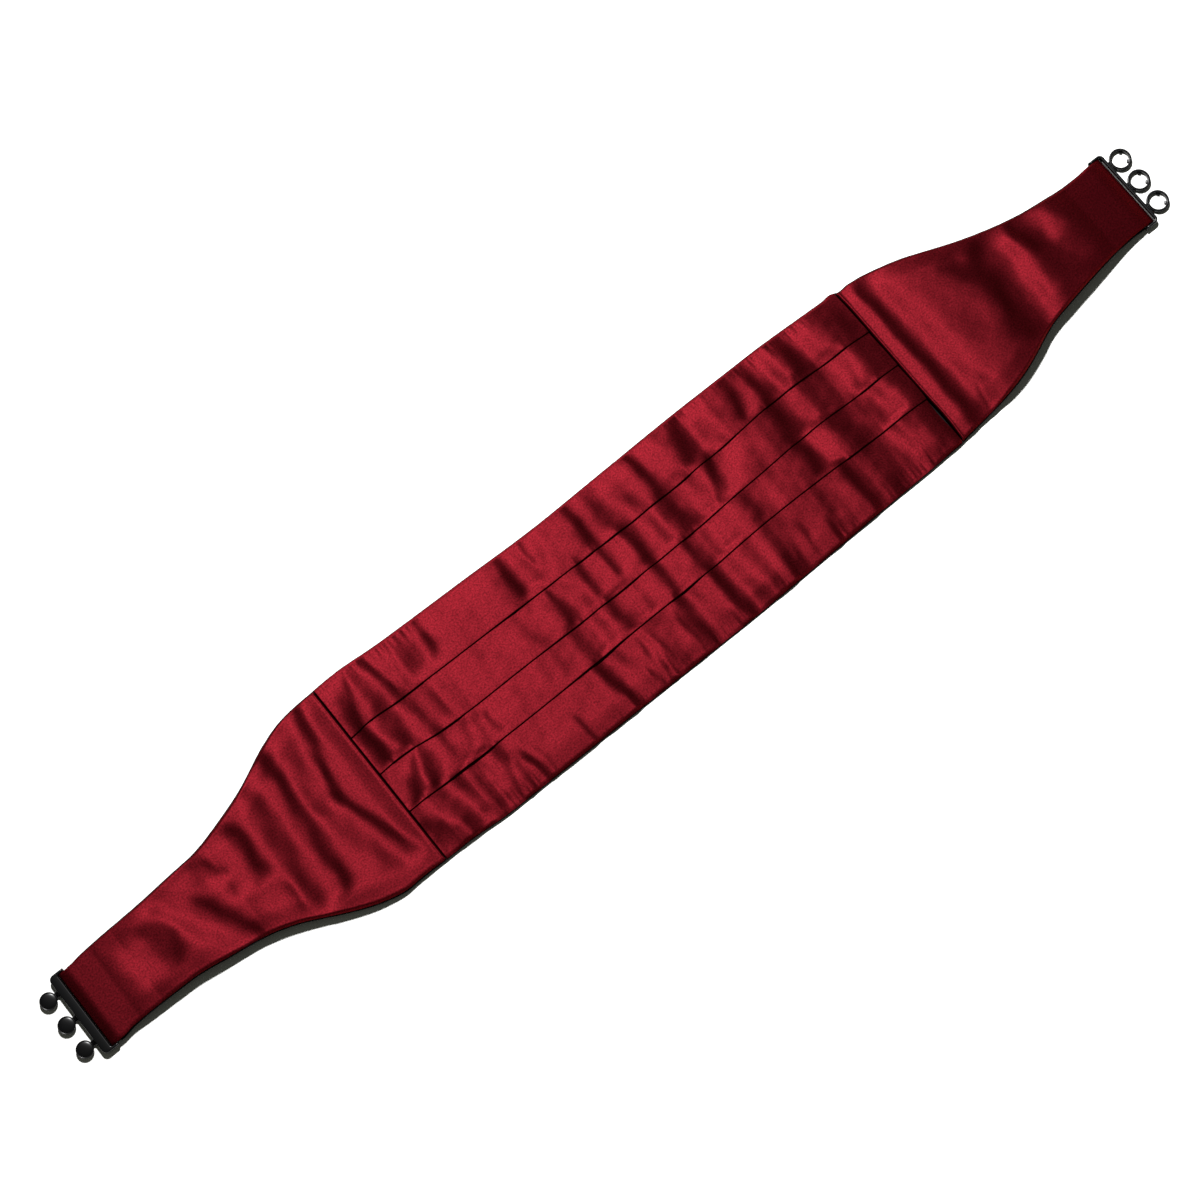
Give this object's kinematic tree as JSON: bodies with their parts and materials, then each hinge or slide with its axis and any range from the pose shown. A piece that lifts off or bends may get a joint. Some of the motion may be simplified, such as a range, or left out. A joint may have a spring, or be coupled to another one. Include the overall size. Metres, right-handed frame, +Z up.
{
  "type": "cummerbund",
  "caption": "Satin cummerbund laid flat: pleated centre panel between two tapered wings, dark backing, stud fitting on one strap end and toothed ring fitting on the other.",
  "frame": {"origin": "middle of the object's footprint, on the surface that it lies on", "axes": "+X from the stud end to the ring end, +Y towards the upper edge as worn, +Z up out of the satin side"},
  "size_m": [0.8228, 0.129, 0.0118],
  "materials": {
    "satin": "burgundy polyester satin with a soft broad sheen",
    "lining": "dull black woven lining",
    "fitting_plastic": "moulded black nylon, semi-gloss"
  },
  "bodies": {
    "root": {"pleated_front": "satin", "left_wing": "satin", "right_wing": "satin", "backing": "lining", "stud_bar": "fitting_plastic", "ring_bar": "fitting_plastic"}
  },
  "joints": []
}
